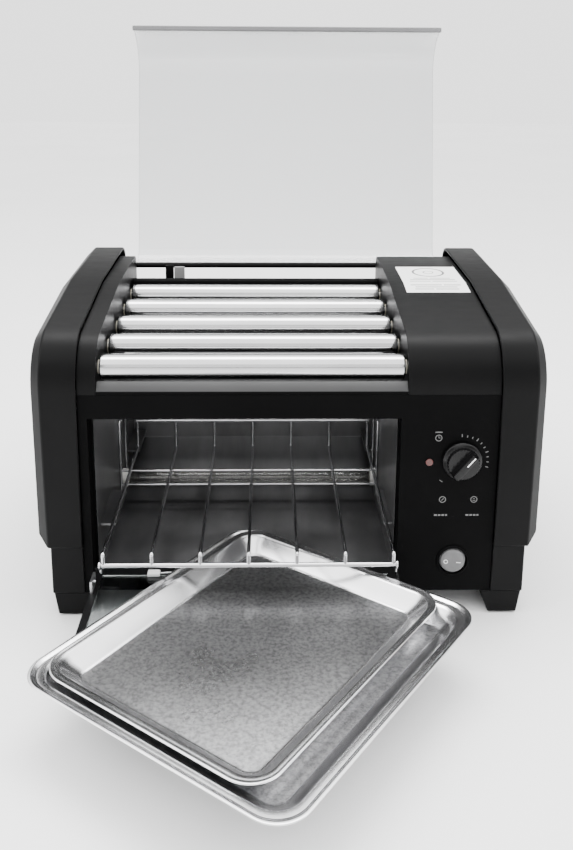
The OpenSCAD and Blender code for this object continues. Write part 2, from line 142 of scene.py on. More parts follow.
# ---------------------------------------------------------------- materials

def principled(name, color, roughness, metallic=0.0, **sockets):
    """A new material and its shader, with plain numbers on the sockets."""
    material = bpy.data.materials.new(name)
    material.use_nodes = True
    shader = material.node_tree.nodes["Principled BSDF"]
    shader.inputs["Base Color"].default_value = (*color, 1)
    shader.inputs["Roughness"].default_value = roughness
    shader.inputs["Metallic"].default_value = metallic
    for key, value in sockets.items():
        shader.inputs[key.replace("_", " ")].default_value = value
    return material, shader


def add_node(material, kind):
    return material.node_tree.nodes.new(kind)


def link(material, a, b):
    material.node_tree.links.new(a, b)


def object_noise(material, scale, detail=3, stretch=(1, 1, 1), roughness=0.55):
    """Noise over the piece's own coordinates; a small stretch draws it out along that axis."""
    coordinates = add_node(material, "ShaderNodeTexCoord")
    mapping = add_node(material, "ShaderNodeMapping")
    mapping.inputs["Scale"].default_value = stretch
    noise = add_node(material, "ShaderNodeTexNoise")
    noise.inputs["Scale"].default_value = scale
    noise.inputs["Detail"].default_value = detail
    noise.inputs["Roughness"].default_value = roughness
    link(material, coordinates.outputs["Object"], mapping.inputs["Vector"])
    link(material, mapping.outputs["Vector"], noise.inputs["Vector"])
    return noise.outputs["Fac"]


def vary(material, source, socket, low, high, start=0.3, end=0.7):
    """Spreads a grey value between two numbers on a shader socket."""
    spread = add_node(material, "ShaderNodeMapRange")
    for key, value in (("From Min", start), ("From Max", end), ("To Min", low), ("To Max", high)):
        spread.inputs[key].default_value = value
    link(material, source, spread.inputs["Value"])
    link(material, spread.outputs["Result"], socket)


def tint(material, shader, source, dark, light, start=0.3, end=0.7):
    """Spreads a grey value between two colours on the base colour."""
    ramp = add_node(material, "ShaderNodeValToRGB")
    ramp.color_ramp.elements[0].position = start
    ramp.color_ramp.elements[1].position = end
    ramp.color_ramp.elements[0].color = (*dark, 1)
    ramp.color_ramp.elements[1].color = (*light, 1)
    link(material, source, ramp.inputs["Fac"])
    link(material, ramp.outputs["Color"], shader.inputs["Base Color"])


def bump(material, shader, sources, distance):
    """One bump per (height, strength) pair, chained into the shader's normal."""
    normal = None
    for height, strength in sources:
        node = add_node(material, "ShaderNodeBump")
        node.inputs["Strength"].default_value = strength
        node.inputs["Distance"].default_value = distance
        link(material, height, node.inputs["Height"])
        if normal:
            link(material, normal, node.inputs["Normal"])
        normal = node.outputs["Normal"]
    link(material, normal, shader.inputs["Normal"])


def floor_material():
    """Pale paper with a faint cloud."""
    material, shader = principled("floor_paper", (0.9, 0.9, 0.9), 0.7)
    tint(material, shader, object_noise(material, 2.0), (0.88, 0.88, 0.88), (0.92, 0.92, 0.92))
    return material


def moulded(name, dark, light, rough, grain=1400, depth=0.25, **sockets):
    """Injection-moulded plastic or powder coat: fine grain, faint blotches and soft scuffs."""
    sockets.setdefault("Specular_IOR_Level", 0.22)
    material, shader = principled(name, dark, rough, **sockets)
    fine = object_noise(material, grain, 2)
    cloud = object_noise(material, 9, 4)
    scuff = object_noise(material, 60, 5, (1, 3, 1))
    tint(material, shader, cloud, dark, light)
    vary(material, scuff, shader.inputs["Roughness"], rough - 0.02, rough + 0.04)
    bump(material, shader, [(fine, depth), (cloud, 0.05)], mm(0.05))
    return material


def turned(name, color, rough, rings, depth, **sockets):
    """Metal turned about X: hair-fine rings, faint long stains and a little wave."""
    material, shader = principled(name, color, rough, 1.0, **sockets)
    ring = object_noise(material, rings, 2, (1, 0.002, 0.002))
    stain = object_noise(material, 14, 5, (0.6, 2, 2))
    dark = tuple(c * 0.82 for c in color)
    tint(material, shader, stain, dark, color)
    vary(material, stain, shader.inputs["Roughness"], rough - 0.03, rough + 0.09)
    bump(material, shader, [(ring, depth), (stain, 0.06)], mm(0.04))
    return material


def pressed_tray(name, color, rough, speckle=0.0):
    """Pressed sheet: fine pebbled grain, wiped clouds and short scratches; speckle darkens the grain."""
    material, shader = principled(name, color, rough, 1.0)
    grain = object_noise(material, 330, 4, roughness=0.7)
    cloud = object_noise(material, 11, 6, roughness=0.6)
    scratch = object_noise(material, 900, 2, (1, 0.03, 1))
    dark = tuple(c * (0.86 - speckle) for c in color)
    pattern = grain if speckle else cloud
    tint(material, shader, pattern, dark, color, 0.34, 0.62)
    vary(material, cloud, shader.inputs["Roughness"], rough - 0.02, rough + 0.05)
    bump(material, shader, [(grain, 0.1), (scratch, 0.03)], mm(0.05))
    return material


def sheet_metal(name, dark, light, rough, spangle=70):
    """Zinc-coated sheet: flat spangle patches over a streaked ground."""
    material, shader = principled(name, light, rough, 0.85)
    coordinates = add_node(material, "ShaderNodeTexCoord")
    cells = add_node(material, "ShaderNodeTexVoronoi")
    cells.inputs["Scale"].default_value = spangle
    link(material, coordinates.outputs["Object"], cells.inputs["Vector"])
    streak = object_noise(material, 30, 5, (1, 0.3, 0.3))
    tint(material, shader, streak, dark, light)
    vary(material, cells.outputs["Distance"], shader.inputs["Metallic"], 0.8, 0.9, 0.0, 0.8)
    vary(material, streak, shader.inputs["Roughness"], rough - 0.08, rough + 0.12)
    bump(material, shader, [(streak, 0.12), (cells.outputs["Distance"], 0.04)], mm(0.05))
    return material


def clear_sheet(name, color, rough, ior=1.49):
    """Clear plastic or glass with a faint haze and a slow moulding wave."""
    material, shader = principled(name, color, rough, IOR=ior, Transmission_Weight=1.0)
    haze = object_noise(material, 6, 4)
    vary(material, haze, shader.inputs["Roughness"], rough, rough + 0.06)
    bump(material, shader, [(haze, 0.05)], mm(0.2))
    return material


def make_materials():
    """One finish per material slot of the record, and a few for details that share a slot."""
    return {
        "black_plastic": moulded("black_plastic", (0.0014, 0.0014, 0.0015), (0.003, 0.003, 0.0031),
                                 0.38, Specular_IOR_Level=0.08),
        "panel_black": moulded("panel_black", (0.001, 0.001, 0.0011), (0.0018, 0.0018, 0.0019),
                               0.55, 900, Specular_IOR_Level=0.04),
        "rubber": moulded("rubber", (0.004, 0.004, 0.004), (0.009, 0.009, 0.009), 0.75, 500, 0.4),
        "ledge_grey": moulded("ledge_grey", (0.022, 0.022, 0.0225), (0.035, 0.035, 0.0355),
                              0.42, 900, 0.2),
        "galvanised": sheet_metal("galvanised", (0.13, 0.13, 0.132), (0.21, 0.21, 0.213), 0.38),
        "polished_steel": turned("polished_steel", (0.56, 0.56, 0.565), 0.12, 700, 0.1),
        "gear_nylon": moulded("gear_nylon", (0.6, 0.56, 0.46), (0.7, 0.66, 0.56), 0.45, 600),
        "steel_pin": turned("steel_pin", (0.6, 0.6, 0.61), 0.25, 900, 0.2),
        "knob_black": moulded("knob_black", (0.002, 0.002, 0.0022), (0.004, 0.004, 0.0042),
                              0.24, 1100, 0.12),
        "rocker_grey": moulded("rocker_grey", (0.12, 0.12, 0.122), (0.15, 0.15, 0.152),
                               0.34, 1100, 0.12),
        "lamp": moulded("lamp", (0.05, 0.008, 0.006), (0.08, 0.012, 0.009), 0.15, 300, 0.05,
                        Coat_Weight=0.6),
        "label": moulded("label", (0.82, 0.82, 0.81), (0.87, 0.87, 0.86), 0.42, 800, 0.08),
        "quartz": clear_sheet("quartz", (0.9, 0.9, 0.88), 0.04, 1.46),
        "ceramic": moulded("ceramic", (0.8, 0.79, 0.75), (0.88, 0.87, 0.84), 0.3, 500, 0.15,
                           Coat_Weight=0.4),
        "chrome_wire": turned("chrome_wire", (0.74, 0.74, 0.75), 0.14, 300, 0.05),
        "door_glass": clear_sheet("door_glass", (0.55, 0.58, 0.58), 0.02, 1.5),
        "door_metal": moulded("door_metal", (0.003, 0.003, 0.0032), (0.006, 0.006, 0.0062), 0.34, 900),
        "lid_clear": clear_sheet("lid_clear", (0.8, 0.81, 0.815), 0.2),
        "trim_grey": moulded("trim_grey", (0.13, 0.13, 0.133), (0.17, 0.17, 0.174), 0.38, 900),
        "stop_grey": moulded("stop_grey", (0.16, 0.16, 0.16), (0.24, 0.24, 0.24), 0.5, 700),
        "tray_steel": pressed_tray("tray_steel", (0.86, 0.86, 0.87), 0.2),
        "tray_floor": pressed_tray("tray_floor", (0.45, 0.45, 0.455), 0.28, 0.36),
        "coil_wire": turned("coil_wire", (0.16, 0.155, 0.15), 0.45, 900, 0.2),
        "faint_print": moulded("faint_print", (0.1, 0.1, 0.1), (0.17, 0.17, 0.17), 0.5, 800, 0.1),
    }


# ---------------------------------------------------------------- mesh helpers

MATERIALS = {}


def make_piece(name, verts, faces, body, slot, replaces=(), smooth=35, bevel=0.0):
    """A mesh piece that rides on a body, with edges sharper than smooth degrees kept sharp."""
    mesh = bpy.data.meshes.new(name)
    mesh.from_pydata([tuple(v) for v in verts], [], faces)
    tidy_mesh(mesh, smooth)
    mesh.materials.append(MATERIALS[slot])
    piece = bpy.data.objects.new(name, mesh)
    SCENE.collection.objects.link(piece)
    if bevel:
        add_bevel(piece, bevel)
    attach(piece, body)
    if replaces:
        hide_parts(*replaces)
    return piece


def tidy_mesh(mesh, smooth):
    """Closes seams, turns faces outward and marks the sharp edges."""
    bm = bmesh.new()
    bm.from_mesh(mesh)
    bmesh.ops.remove_doubles(bm, verts=bm.verts, dist=1e-6)
    bmesh.ops.dissolve_degenerate(bm, edges=bm.edges, dist=1e-7)
    bmesh.ops.recalc_face_normals(bm, faces=bm.faces)
    limit = math.radians(smooth)
    for face in bm.faces:
        face.smooth = True
    for edge in bm.edges:
        edge.smooth = len(edge.link_faces) == 2 and edge.calc_face_angle(0) < limit
    bm.to_mesh(mesh)
    bm.free()


def add_bevel(piece, width, segments=3):
    """Rounds the edges where faces meet at more than 32 degrees."""
    modifier = piece.modifiers.new("bevel", "BEVEL")
    modifier.width = mm(width)
    modifier.segments = segments
    modifier.limit_method = "ANGLE"
    modifier.angle_limit = math.radians(32)


def refine(node, bevel, smooth=35):
    """A rounded copy of a CAD node: flat faces merged, edges broken by a small radius."""
    source = NODES[node].data
    mesh = bpy.data.meshes.new(node + "_fine")
    bm = bmesh.new()
    bm.from_mesh(source)
    bmesh.ops.remove_doubles(bm, verts=bm.verts, dist=2e-6)
    bmesh.ops.dissolve_limit(bm, angle_limit=math.radians(1), verts=bm.verts, edges=bm.edges)
    bm.to_mesh(mesh)
    bm.free()
    tidy_mesh(mesh, smooth)
    slot = SLOT_OF[node]
    mesh.materials.clear()
    mesh.materials.append(MATERIALS[slot])
    piece = bpy.data.objects.new(node + "_fine", mesh)
    SCENE.collection.objects.link(piece)
    add_bevel(piece, bevel, 2)
    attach(piece, BODY_OF[node])
    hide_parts(node)
    return piece


def loft(rings, capped=True):
    """Quads between rings of equal length, with the first and last ring filled if capped."""
    n = len(rings[0])
    verts = [p for ring in rings for p in ring]
    faces = []
    for k in range(len(rings) - 1):
        for i in range(n):
            j = (i + 1) % n
            faces.append((k * n + i, k * n + j, (k + 1) * n + j, (k + 1) * n + i))
    if capped:
        faces.append(tuple(range(n - 1, -1, -1)))
        faces.append(tuple((len(rings) - 1) * n + i for i in range(n)))
    return verts, faces


def ring(centre, axis, radius, sides=48):
    """Points on a circle round an axis."""
    turn = Vector(axis).to_track_quat("Z", "Y")
    return [centre + turn @ Vector((radius * math.cos(a), radius * math.sin(a), 0))
            for a in (2 * math.pi * i / sides for i in range(sides))]


def lathe(profile, origin, axis, sides=48):
    """Turns (distance along the axis, radius) pairs in millimetres; a closed profile makes a ring."""
    axis = Vector(axis)
    rings = [ring(origin + axis * mm(d), axis, max(mm(r), 1e-6), sides) for d, r in profile]
    return loft(rings, capped=profile[0] != profile[-1])


def rounded_path(points, radius, steps=6):
    """A polyline whose corners are arcs of about that radius."""
    path = [points[0]]
    for before, corner, after in zip(points, points[1:], points[2:]):
        a, b = (before - corner), (after - corner)
        cut = min(radius, a.length * 0.49, b.length * 0.49)
        start, end = corner + a.normalized() * cut, corner + b.normalized() * cut
        for i in range(steps + 1):
            t = i / steps
            path.append(start * (1 - t) ** 2 + corner * 2 * t * (1 - t) + end * t * t)
    path.append(points[-1])
    return path


def sweep(path, radius, sides=12):
    """A round wire along a path, with flat ends."""
    rings, normal = [], None
    for i, p in enumerate(path):
        before, after = path[max(i - 1, 0)], path[min(i + 1, len(path) - 1)]
        forward = (after - before).normalized()
        if normal is None:
            normal = forward.orthogonal().normalized()
        normal = (normal - forward * normal.dot(forward)).normalized()
        side = forward.cross(normal)
        rings.append([p + (normal * math.cos(t) + side * math.sin(t)) * radius
                      for t in (2 * math.pi * k / sides for k in range(sides))])
    return loft(rings)


def join(parts):
    """Several (verts, faces) pairs as one."""
    verts, faces = [], []
    for v, f in parts:
        start = len(verts)
        verts += list(v)
        faces += [tuple(i + start for i in face) for face in f]
    return verts, faces


def slab(low, high):
    """A block between two corners, for pieces that a bevel rounds."""
    x0, y0, z0 = low
    x1, y1, z1 = high
    rings = [[Vector((x0, y0, z)), Vector((x1, y0, z)), Vector((x1, y1, z)), Vector((x0, y1, z))]
             for z in (z0, z1)]
    return loft(rings)


# ---------------------------------------------------------------- housings, panel and oven

def refine_body():
    """Rounded copies of the nodes that keep the CAD's shape; two get a black front edge."""
    for node, bevel in (
        ("side_cover_left", 1.1), ("side_cover_right", 1.1), ("feet", 1.2), ("foot_pads", 0.8),
        ("base_pan", 0.4), ("rear_panel", 0.4), ("rear_deck", 0.7), ("end_housing", 0.9),
        ("gear_housing", 0.9), ("front_panel", 0.5), ("front_ledge", 0.7), ("cavity_liner", 0.3),
        ("drip_deck", 0.3), ("cord_inlet", 0.5), ("roller_bushes", 0.3), ("gear_plate", 0.3),
        ("motor", 0.8), ("motor_shaft", 0.3), ("timer_body", 0.5), ("timer_shaft", 0.3),
        ("switch_body", 0.3), ("indicator_lamp", 0.6), ("heater_end_caps", 0.7),
        ("rack_rails", 0.3), ("door_frame", 0.7), ("door_lugs", 0.4), ("lid_rod", 0.5),
        ("lid_brackets", 0.6), ("lid_stop", 0.7), ("idler_pins", 0.3),
    ):
        refine(node, bevel)
    for node in NODES:
        if node.startswith(("roller_gear", "idler_gear", "motor_gear")):
            refine(node, 0.25, 25)
    for node in ("front_ledge", "cavity_liner"):
        mesh = bpy.data.objects[node + "_fine"].data
        mesh.materials.append(MATERIALS["panel_black"])
        for face in mesh.polygons:
            face.material_index = int(face.normal.y < -0.9 and face.center.y < FRONT_Y + mm(20))


def make_screws():
    """Domed heads in place of the plain discs, with painted shade for their cross slots."""
    rear, under = Vector((0, 1, 0)), Vector((0, 0, -1))
    places = [(from_front(s * 166, 283, z), rear) for s in (-1, 1) for z in (60, 130, 200)]
    places += [(from_front(s * 150, y, 22), under) for s in (-1, 1) for y in (70, 210)]
    dome = [(0, 0.01), (0, 3.5), (0.7, 3.4), (1.3, 2.6), (1.6, 1.4), (1.65, 0.01)]
    heads = [lathe(dome, place, axis, 24) for place, axis in places]
    make_piece("screw_heads", *join(heads), "body", "steel_pin", ("panel_screws",))
    # The cross slots are not cut into the heads: thin bars in the black rubber finish sit on each dome as
    # painted shade of the slot recesses.
    slot_shade_bars = []
    slot_low, slot_height, half_length, half_width = mm(1.2), mm(0.5), mm(2.1), mm(0.35)
    for place, axis in places:
        for turn in (20, 110):
            low = place + axis * slot_low
            along = Matrix.Rotation(math.radians(turn), 3, axis) @ Vector((1, 0, 0)) * half_length
            across = axis.cross(along.normalized()) * half_width
            corners = [low + along + across, low + along - across, low - along - across,
                       low - along + across]
            slot_shade_bars.append(loft([corners, [c + axis * slot_height for c in corners]]))
    # Black bars of painted shade where the slots' recesses would be.
    make_piece("screw_slot_shade", *join(slot_shade_bars), "body", "rubber")


# ---------------------------------------------------------------- rollers

def quarter_arc(x, towards, radius, edge_r, steps=6):
    """The rolled edge of a tube's end at x, from the end face out to radius edge_r."""
    angles = [math.pi / 2 * k / steps for k in range(steps + 1)]
    return [(x + towards * radius * (1 - math.cos(a)), edge_r - radius + radius * math.sin(a))
            for a in angles]


def make_rollers():
    """Turned tubes with rolled ends, a recessed plug and a journal at each end."""
    x0, x1, gear_end = -158.5, 96.5, 116.9
    journal, lip, edge = 4, 6, 1.2
    for i in range(1, 6):
        node = f"roller_tube_{i}"
        low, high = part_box(node)
        origin = Vector((0, (low.y + high.y) / 2, (low.z + high.z) / 2))
        r = (high.z - low.z) * 500
        profile = [(x0 - 8, 0.01), (x0 - 8, journal - 0.5), (x0 - 7.5, journal), (x0 + 0.6, journal),
                   (x0 + 0.6, r - 2.2), (x0, r - 1.9), (x0, r - edge)]
        profile += quarter_arc(x0, 1, edge, r)
        profile.append((x0 + lip, r))
        profile += [(x0 + lip + 15 * k, r) for k in range(1, 17) if x0 + lip + 15 * k < x1 - lip]
        profile.append((x1 - lip, r))
        profile += quarter_arc(x1, -1, edge, r)[::-1]
        profile += [(x1, r - edge), (x1, r - 1.9), (x1 - 0.6, r - 2.2), (x1 - 0.6, journal),
                    (gear_end - 0.5, journal), (gear_end, journal - 0.5), (gear_end, 0.01)]
        verts, faces = lathe(profile, origin, (1, 0, 0), 96)
        make_piece(f"roller_{i}_tube", verts, faces, f"roller_{i}", "polished_steel", (node,))


# ---------------------------------------------------------------- trays

def rounded_ring(width, depth, radius, z, corner=14):
    """Points of a rounded rectangle at a height, in millimetres, for a tray's own frame."""
    points = []
    for cx, cy, start in ((1, 1, 0), (-1, 1, 90), (-1, -1, 180), (1, -1, 270)):
        mx, my = cx * (width / 2 - radius), cy * (depth / 2 - radius)
        for k in range(corner + 1):
            a = math.radians(start + 90 * k / corner)
            points.append(Vector((mx + radius * math.cos(a), my + radius * math.sin(a), z)))
    return points


def tray_rings(well, well_r, rim, rim_r, top, step):
    """Rings from the middle of the floor up the sloped wall, over the rim and back underneath.

    well and rim are (width, depth) in millimetres at the wall's top and at the rim's edge, with
    their corner radii; top is the rim's height and step how far the flange lies under it.
    """
    gauge, slope, cove = 0.9, 11, 4

    def flange(t, z):
        """A ring t of the way from the wall's top (0) to the rim's edge (1)."""
        w, d = (a + (b - a) * t for a, b in zip(well, rim))
        return rounded_ring(w, d, well_r + (rim_r - well_r) * t, z)

    def wall(t, z):
        """A ring t of the way from the floor's edge (0) to the wall's top (1)."""
        cut = slope * (1 - t)
        return rounded_ring(well[0] - 2 * cut, well[1] - 2 * cut, max(well_r - cut, 8), z)

    def floor(inset, radius, z):
        """A ring on the floor, this far inside the wall's foot."""
        return rounded_ring(well[0] - 2 * slope - inset, well[1] - 2 * slope - inset, radius, z)

    def middle(scale, radius, z):
        return rounded_ring(well[0] * scale, well[1] * scale, radius, z)

    under_flange = top - step - gauge + 0.3
    inside = [rounded_ring(8, 8, 3.9, gauge + 0.25), middle(0.3, 12, gauge + 0.25),
              middle(0.6, 18, gauge + 0.15), middle(0.8, 20, gauge),
              floor(8, max(well_r - slope - 4, 8), gauge)]
    for k in range(6):
        a = math.radians(11 * k)
        inside.append(floor(6 - 2 * cove * math.sin(a), max(well_r - slope, 10),
                            gauge + cove * (1 - math.cos(a))))
    for t in (0.55, 0.75, 0.9):
        inside.append(wall(t, gauge + 1.7 + (top - step - gauge - 2.4) * t))
    for k in range(5):
        a = math.radians(22.5 * k)
        inside.append(flange(0.16 * math.sin(a) - 0.02, top - step - 0.8 * (1 - math.sin(a))))
    inside += [flange(0.5, top - step), flange(0.62, top - step + 0.1), flange(0.72, top - 0.25)]
    edge = [flange(0.84, top - 0.02), flange(0.93, top), flange(0.975, top - 0.12),
            flange(1, top - 0.55), flange(1, top - 0.8), flange(0.975, top - 1.2),
            flange(0.9, top - 1.25), flange(0.8, top - 1.05)]
    under = [flange(0.7, top - 1.15), flange(0.6, under_flange), flange(0.2, under_flange),
             wall(0.9, max(0.9 * (top - step - 2), 1)), wall(0.5, max(0.45 * (top - step), 1)),
             floor(2, max(well_r - slope, 9), 0.6), floor(8, max(well_r - slope - 3, 8), 0),
             middle(0.5, 14, 0)]
    return inside + edge + under


def make_trays():
    """Two pressed trays lying askew on the open door, one in the other."""
    turn = Matrix.Rotation(math.radians(53.5), 4, "Z")
    on_door = Matrix.Translation(from_front(-23.4, -118.8, 42.8)) @ turn
    outer = tray_rings((242, 214), 20, (263, 234), 24, 13.2, 1.6)
    inner = tray_rings((232, 184), 18, (248, 197), 24, 13.6, 0.5)
    for name, node, rings, shift in (
        ("tray_outer", "outer_tray", outer, (0, 0, 0)),
        ("tray_inner", "inner_tray", inner, (5.7, 11.2, 1.0)),
    ):
        place = on_door @ Matrix.Translation(mm(*shift))
        verts, faces = loft(rings)
        verts = [place @ (v / 1000) for v in verts]
        piece = make_piece(name, verts, faces, "trays", "tray_steel", (node,), smooth=60)
        piece.data.materials.append(MATERIALS["tray_floor"])
        floor_top = place.translation.z + mm(3)
        for face in piece.data.polygons:
            face.material_index = int(abs(face.normal.z) > 0.97 and face.center.z < floor_top)


# ---------------------------------------------------------------- lid

def lid_points(offset):
    """The open lid's middle line moved out by offset, as (y, z) from the rod's axis."""
    rod_r, bend, flat, nose, drop = 3, 22, 192, 38, 47
    rear_steps, nose_steps = 12, 24
    lean = math.radians(-103)
    line = []
    for k in range(rear_steps + 1):
        a = math.radians(90 * k / rear_steps)
        line.append((-bend + (bend + offset) * math.cos(a), rod_r + (bend + offset) * math.sin(a)))
    for k in range(nose_steps + 1):
        a = math.radians(90 + 90 * k / nose_steps)
        line.append((-bend - flat + (nose + offset) * math.cos(a),
                     rod_r + bend - drop + (drop + offset) * math.sin(a)))
    return [(y * math.cos(lean) - z * math.sin(lean), y * math.sin(lean) + z * math.cos(lean))
            for y, z in line]


def make_lid():
    """Clear bent sheet with rounded edges and the grey trim clipped along its free edge."""
    hinge = from_front(0, 264, 253)
    half_gauge = 0.95
    section = lid_points(half_gauge) + lid_points(-half_gauge)[::-1]
    xs = [-162.8, -162.3, -160] + [-140 + 20 * k for k in range(16)] + [164, 166.3, 166.8]
    middle = [((a[0] + b[0]) / 2, (a[1] + b[1]) / 2) for a, b in zip(section, section[::-1])]
    rings = []
    for x in xs:
        thin = 0.35 if x in (xs[0], xs[-1]) else 1
        rings.append([hinge + mm(x, m[0] + (p[0] - m[0]) * thin, m[1] + (p[1] - m[1]) * thin)
                      for p, m in zip(section, middle)])
    make_piece("lid_bent_sheet", *loft(rings), "lid", "lid_clear", ("lid_sheet",), smooth=50)
    piece = refine("lid_trim", 1.1, 40)
    piece.name = "lid_trim_strip"


# ---------------------------------------------------------------- wires, guards and door

def make_rack():
    """Seven long wires on two cross bars, with a hook at each end of the front bar."""
    middle, pitch, wire_r, bar_half = -34, 40, 1.6, 121.6
    front, rear, low, level, high = -31, 182, 66, 76, 106
    rack = []
    for i in range(-3, 4):
        x = middle + pitch * i
        path = [from_front(x, y, z) for y, z in ((front, low), (front, level), (rear, level), (rear, high))]
        rack.append(sweep(rounded_path(path, mm(wire_r)), mm(wire_r), 14))
    for y, z in ((front, low), (rear, high)):
        bar = [from_front(middle + x, y, z)
               for x in (-bar_half, 0.8 - bar_half, 0, bar_half - 0.8, bar_half)]
        rack.append(sweep(bar, mm(2), 16))
    make_piece("rack_wires", *join(rack), "rack", "chrome_wire", ("wire_rack",), smooth=50)
    eye = [(-1, 0.01), (-1, 3.1), (-0.6, 3.6), (0.6, 3.6), (1, 3.1), (1, 0.01)]
    hooks = []
    for side in (-1, 1):
        x = middle + side * (bar_half + 1.2)
        path = [from_front(x, y, z) for y, z in ((-30, 68.4), (-27, 65.5), (-27, 56.5), (-19, 56.5))]
        hooks.append(lathe(eye, from_front(x, front, low), (1, 0, 0), 32))
        hooks.append(sweep(rounded_path(path, mm(1.6)), mm(1), 12))
    make_piece("rack_hook_wires", *join(hooks), "rack", "chrome_wire", ("rack_hooks",), smooth=50)


def make_guards():
    """A wire hoop at each end of the lower heater and two wires between them."""
    hoop_r, left, right, front, rear, low, high = 1.3, -164.6, 90.6, 133, 167, 46, 124
    guards = []
    for x in (left, right):
        corners = [from_front(x, y, z)
                   for y, z in ((front, low), (front, high), (rear, high), (rear, low), (front, low))]
        guards.append(sweep(rounded_path(corners, mm(hoop_r))[:-1], mm(hoop_r), 12))
    for z in (57.6, 72.5):
        wire = [from_front(x, front, z) for x in (left, -160, -37, 86, right)]
        guards.append(sweep(wire, mm(1.2), 12))
    make_piece("guard_hoops", *join(guards), "body", "chrome_wire", ("element_guards",), smooth=50)


def make_heaters():
    """Clear quartz tubes with a wound wire inside each."""
    x0, x1, skin = -160, 86, 1.2
    coil_x0, coil_x1, coil_r, turns, points_per_turn = -154, 80, 2.7, 75, 10
    count = turns * points_per_turn
    tubes, coils = [], []
    for y, z, r in ((150, 57, 6.5), (110, 190, 5.5)):
        origin = from_front(0, y, z)
        tubes.append(lathe([(x0, r - skin), (x0, r), (x1, r), (x1, r - skin), (x0, r - skin)],
                           origin, (1, 0, 0), 40))
        path = []
        for k in range(count + 1):
            a = 2 * math.pi * k / points_per_turn
            path.append(origin + mm(coil_x0 + (coil_x1 - coil_x0) * k / count,
                                    coil_r * math.cos(a), coil_r * math.sin(a)))
        coils.append(sweep(path, mm(0.45), 5))
    make_piece("quartz_tubes", *join(tubes), "body", "quartz", ("heater_tubes",), smooth=50)
    coil = make_piece("heater_coils", *join(coils), "body", "steel_pin", smooth=70)
    coil.data.materials[0] = MATERIALS["coil_wire"]


def make_door():
    """Glass pane, a bar handle on two posts under the free edge, and a pale clip with its wire."""
    low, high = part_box("door_glass")
    pane = slab(low + mm(0.05, 0.05, 0.3), high - mm(0.05, 0.05, 0.3))
    make_piece("door_pane", *pane, "door", "door_glass", ("door_glass",), bevel=0.6)
    low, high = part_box("door_handle")
    y, z = (low.y + high.y) / 2, low.z + mm(5)
    x0, x1 = low.x * 1000, high.x * 1000
    half_end = [(0, 0.01), (0, 3.6), (0.4, 4.3), (1.4, 5), (6, 5)]
    profile = [(x0 + d, r) for d, r in half_end] + [(x1 - d, r) for d, r in half_end[::-1]]
    bar = lathe(profile, Vector((0, y, z)), (1, 0, 0), 40)
    post = [(0, 0.01), (0, 3.2), (14, 3.2), (17, 3.5), (19.4, 3.5), (19.4, 0.01)]
    posts = [lathe(post, Vector((mm((x0 + x1) / 2 + side * 58), y, z)), (0, 0, 1), 28)
             for side in (-1, 1)]
    make_piece("door_bar_handle", *join([bar] + posts), "door", "door_metal", ("door_handle",))
    clip = slab(from_front(-121, -10, 42.3), from_front(-110.5, -3, 45.4))
    make_piece("door_clip", *clip, "door", "label", bevel=0.7)
    wire = [from_front(-110.8, -6.5, 43.9), from_front(-96, -5, 43.9), from_front(-90, -4.6, 43.5),
            from_front(-88, -4.4, 42.5)]
    make_piece("door_clip_wire", *sweep(wire, mm(0.8), 10), "door", "steel_pin", smooth=50)


# ---------------------------------------------------------------- controls

def flat_ring(centre, axis, inner, outer, thick, sides=40):
    """A washer, in millimetres, that stands on a centre along an axis."""
    return lathe([(0, inner), (0, outer), (thick, outer), (thick, inner), (0, inner)], centre, axis, sides)


def flat_bar(x, z, length, width, turn):
    """A printed bar on the panel, turned about its middle; turn 0 lies along X."""
    lift, thick = 0.02, 0.06
    a = math.radians(turn)
    along = Vector((math.cos(a), 0, math.sin(a))) * mm(length / 2)
    up = Vector((-math.sin(a), 0, math.cos(a))) * mm(width / 2)
    centre = from_front(x, -lift, z)
    corners = [centre + along + up, centre - along + up, centre - along - up, centre + along - up]
    return loft([corners, [c - mm(0, thick, 0) for c in corners]])


def make_knob():
    """Timer knob: flared skirt, fluted drum and a raised grip with a white pointer line."""
    low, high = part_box("timer_knob")
    centre = Vector(((low.x + high.x) / 2, FRONT_Y, (low.z + high.z) / 2))
    skirt = lathe([(1, 3.3), (1, 16.4), (1.5, 17), (3.2, 17), (4.2, 16.2), (4.9, 14.6), (5.2, 14.0),
                   (5.2, 3.3), (1, 3.3)], centre, (0, -1, 0), 72)
    drum_r, flute_depth, flutes, drum_sides = 13.5, 0.42, 30, 240
    drum = []
    for forward, scale in ((4.8, 1.0), (8.4, 0.985), (9.1, 0.955), (9.3, 0.9)):
        points = []
        for k in range(drum_sides):
            a = 2 * math.pi * k / drum_sides
            r = (drum_r + flute_depth * max(-0.4, math.cos(flutes * a))) * scale
            points.append(centre + mm(r * math.cos(a), -forward, r * math.sin(a)))
        drum.append(points)
    make_piece("knob_skirt", *join([skirt, loft(drum)]), "knob", "knob_black", ("timer_knob",), smooth=40)
    turn, grip_sides = math.radians(40), 48
    along = Vector((math.sin(turn), 0, math.cos(turn)))
    across = Vector((math.cos(turn), 0, -math.sin(turn)))
    grip = []
    for forward, half_w, half_l in ((8.8, 4.4, 13.4), (10, 3.9, 13.3), (15.6, 3.4, 12.9),
                                    (16.6, 3.0, 12.5), (16.95, 2.3, 11.8)):
        points = []
        for k in range(grip_sides):
            t = 2 * math.pi * k / grip_sides
            c, s = math.cos(t), math.sin(t)
            u = math.copysign(abs(c) ** 0.35, c) * half_w
            v = math.copysign(abs(s) ** 0.28, s) * half_l
            points.append(centre + across * mm(u) + along * mm(v) - mm(0, forward, 0))
        grip.append(points)
    make_piece("knob_grip", *loft(grip), "knob", "knob_black", smooth=40)
    half_line = across * mm(0.5)
    start, end = (centre + along * mm(d) - mm(0, 16.9, 0) for d in (2, 12))
    corners = [start + half_line, start - half_line, end - half_line, end + half_line]
    pointer = loft([corners, [c - mm(0, 0.09, 0) for c in corners]])
    make_piece("knob_pointer", *pointer, "knob", "label")


